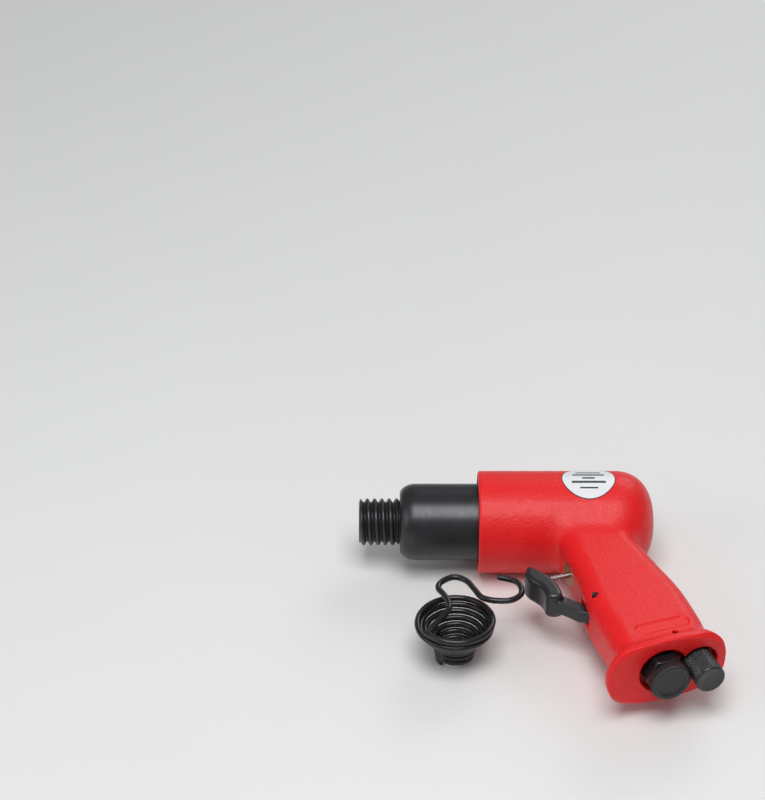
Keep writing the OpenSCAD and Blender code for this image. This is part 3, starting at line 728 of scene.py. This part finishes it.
def make_bushing():
    """The hexagonal inlet bushing, with eased corners and a lock groove in its shank."""
    around = 240
    angle = np.arange(around) * TAU / around
    flat = HEX_R * math.cos(math.pi / 6)
    sector = (angle + math.pi / 6) % (math.pi / 3) - math.pi / 6
    hexagon = np.minimum(flat / np.cos(math.pi / 6 - np.abs(sector)), HEX_R - 0.25)
    groove_low, groove_high = LOCK[1] - LOCK_R, LOCK[1] + LOCK_R
    rings = [
        (SHANK_TOP, BUSHING_BORE_R), (SHANK_TOP, SHANK_R - 0.5), (SHANK_TOP + 0.5, SHANK_R),
        (groove_low, SHANK_R), (groove_low, SHANK_R - LOCK_GROOVE),
        (groove_high, SHANK_R - LOCK_GROOVE), (groove_high, SHANK_R), (HEX_TOP, SHANK_R),
    ]
    # place down the grip, inset from the hexagon, and the radius that its corners are turned to
    turned = [
        (HEX_TOP, 0.5, 9.4), (HEX_TOP + 0.4, 0.1, 10.6), (HEX_TOP + 0.8, 0, HEX_R),
        (HEX_END - 1.4, 0, HEX_R), (HEX_END - 0.9, 0.03, 10.6), (HEX_END - 0.3, 0.15, 9.9),
        (HEX_END, 0.5, 9.2),
    ]
    rings += [(v, np.minimum(hexagon - inset, limit)) for v, inset, limit in turned]
    rings += [(HEX_END, BUSHING_BORE_R + 0.5), (HEX_END - 0.5, BUSHING_BORE_R)]
    points = [grip_ring(INLET_U, v, r, angle) for v, r in rings]
    faces = ring_faces(len(points), around, closed=True)
    piece("hex_bushing", np.concatenate(points) * MM, faces, "hammer_body", ["inlet_bushing"],
          finish["black_oxide"])


# ---- retainer spring -----------------------------------------------------------------------

RETAINER_AT = (47.6, -76.6)
RETAINER_R = 18.5
RETAINER_WIRE = 3.0
RETAINER_DEPTH = 24.5
RETAINER_START = math.radians(222)
RETAINER_POINTS = 420
# turns from the top, then share of the wide radius and depth below the top turn
RETAINER_KNOTS = [
    (0, 1, 0), (1, 1, 4.1), (2, 0.9, 6.6), (3, 0.78, 9), (4, 0.66, 11.4),
    (5, 0.56, 14.2), (6, 0.51, 17.6), (7, 0.47, 21.2), (8, 0.44, RETAINER_DEPTH),
]
# finger loop, from the middle of the top turn: x, y and height over that turn
RETAINER_LOOP = [
    (-8.6, -5.6, 2.2), (-3.5, 1.5, 3.3), (-3, 7, 3.4), (-5, 13, 3.4), (-8, 19, 3.4), (-6, 24, 3.4),
    (0, 27.5, 3.4), (6, 24.5, 3.4), (10, 17.5, 3.4), (13.5, 11.5, 3.4), (20, 9, 3.4),
    (28, 9.5, 3.4), (33, 15, 3.4), (31, 23.5, 3.4), (21.5, 27.5, 3.4),
]


def smooth_path(points, steps):
    """A curve that flows through every point, with a few steps to each stretch."""
    route = []
    for i in range(len(points) - 1):
        a, b = points[max(i - 1, 0)], points[i]
        c, d = points[i + 1], points[min(i + 2, len(points) - 1)]
        for k in range(steps):
            t = k / steps
            route.append(flow(a, b, c, d, t))
    return route + [points[-1]]


def wire(route, radius, sides):
    """A round wire along a route, with slightly rounded ends."""
    route = np.asarray(route, float)
    along = np.gradient(route, axis=0)
    along /= np.linalg.norm(along, axis=1, keepdims=True)
    side = np.cross(along, (0, 0, 1))
    side /= np.linalg.norm(side, axis=1, keepdims=True)
    over = np.cross(side, along)
    ease = radius * 0.35
    starts = [route[0], route[0] + along[0] * ease]
    ends = [route[-1] - along[-1] * ease, route[-1]]
    centres = np.concatenate([starts, route[1:-1], ends])
    frames = [0, 0, *range(1, len(route) - 1), -1, -1]
    radii = np.full(len(centres), radius)
    radii[0] = radii[-1] = radius - ease
    angle = np.arange(sides) * TAU / sides
    points = []
    for centre, i, r in zip(centres, frames, radii):
        spread = np.outer(np.cos(angle), side[i]) + np.outer(np.sin(angle), over[i])
        points.append(centre + r * spread)
    return np.concatenate(points), capped_faces(len(centres), sides)


def make_retainer_spring():
    top = -HOUSING_R + RETAINER_DEPTH + RETAINER_WIRE / 2
    knots = np.array(RETAINER_KNOTS, float)
    turn = np.linspace(len(RETAINER_KNOTS) - 1, 0, RETAINER_POINTS)
    share = np.interp(turn, knots[:, 0], knots[:, 1])
    depth = np.interp(turn, knots[:, 0], knots[:, 2])
    angle = RETAINER_START + TAU * turn
    coil = np.stack([
        RETAINER_AT[0] + RETAINER_R * share * np.cos(angle),
        RETAINER_AT[1] + RETAINER_R * share * np.sin(angle), top - depth], axis=1)
    centre = np.array([*RETAINER_AT, top])
    tail = [coil[-1]] + [centre + np.array(p) for p in RETAINER_LOOP]
    route = np.concatenate([coil, smooth_path(tail, 9)[1:]])
    points, faces = wire(route, RETAINER_WIRE / 2, 16)
    piece("retainer_wire", points * MM, faces, "retainer", ["retainer_spring"],
          finish["black_oxide"])


# ---- studio ---------------------------------------------------------------------------------

VIEW_TARGET = Vector((0.0120, 0.0361, 0.0506))
VIEW_ELEVATION = math.radians(35.5)
VIEW_DISTANCE = 1.5735
VIEW_LENS = 138.8
FLOOR_SIZE = 6.0
FLOOR_AT = (0.1, 0.5)
LIT_POINT = Vector((0.1, -0.04, 0))
# each light's name, place, width and power
LIGHTS = [
    ("key_light", (0.05, -0.45, 1.15), 0.75, 11.0),
    ("left_fill", (-1.1, -0.5, 0.7), 0.8, 3.0),
    ("back_light", (0.6, 1.1, 0.8), 0.7, 4.0),
]
SKY_COLOUR = (0.92, 0.95, 1.0, 1)
SKY_STRENGTH = 0.25


def make_studio():
    level = cad_box[0][2]
    bpy.ops.mesh.primitive_plane_add(size=FLOOR_SIZE, location=(*FLOOR_AT, level))
    ground = bpy.context.object
    ground.name = "floor"
    ground.data.materials.append(finish["pale_floor"])
    for name, place, width, power in LIGHTS:
        light = bpy.data.lights.new(name, "AREA")
        light.shape = "SQUARE"
        light.size = width
        light.energy = power
        lamp = bpy.data.objects.new(name, light)
        lamp.location = place
        aim = LIT_POINT - Vector(place)
        lamp.rotation_euler = aim.to_track_quat("-Z", "Y").to_euler()
        bpy.context.scene.collection.objects.link(lamp)
    world = bpy.data.worlds.new("studio")
    world.use_nodes = True
    sky = world.node_tree.nodes["Background"]
    sky.inputs["Color"].default_value = SKY_COLOUR
    sky.inputs["Strength"].default_value = SKY_STRENGTH
    bpy.context.scene.world = world
    bpy.context.scene.view_settings.view_transform = "Standard"


def make_camera():
    toward = Vector((0, -math.cos(VIEW_ELEVATION), math.sin(VIEW_ELEVATION)))
    camera = bpy.data.cameras.new("camera")
    camera.lens = VIEW_LENS
    camera.sensor_width = 36.0
    camera.clip_end = 20
    holder = bpy.data.objects.new("camera", camera)
    holder.location = VIEW_TARGET + toward * VIEW_DISTANCE
    holder.rotation_euler = (-toward).to_track_quat("-Z", "Y").to_euler()
    bpy.context.scene.collection.objects.link(holder)
    bpy.context.scene.camera = holder


dress_cad_nodes()
make_housing()
make_barrel()
make_trigger()
make_knob()
make_plug()
make_bushing()
make_retainer_spring()
make_studio()
make_camera()
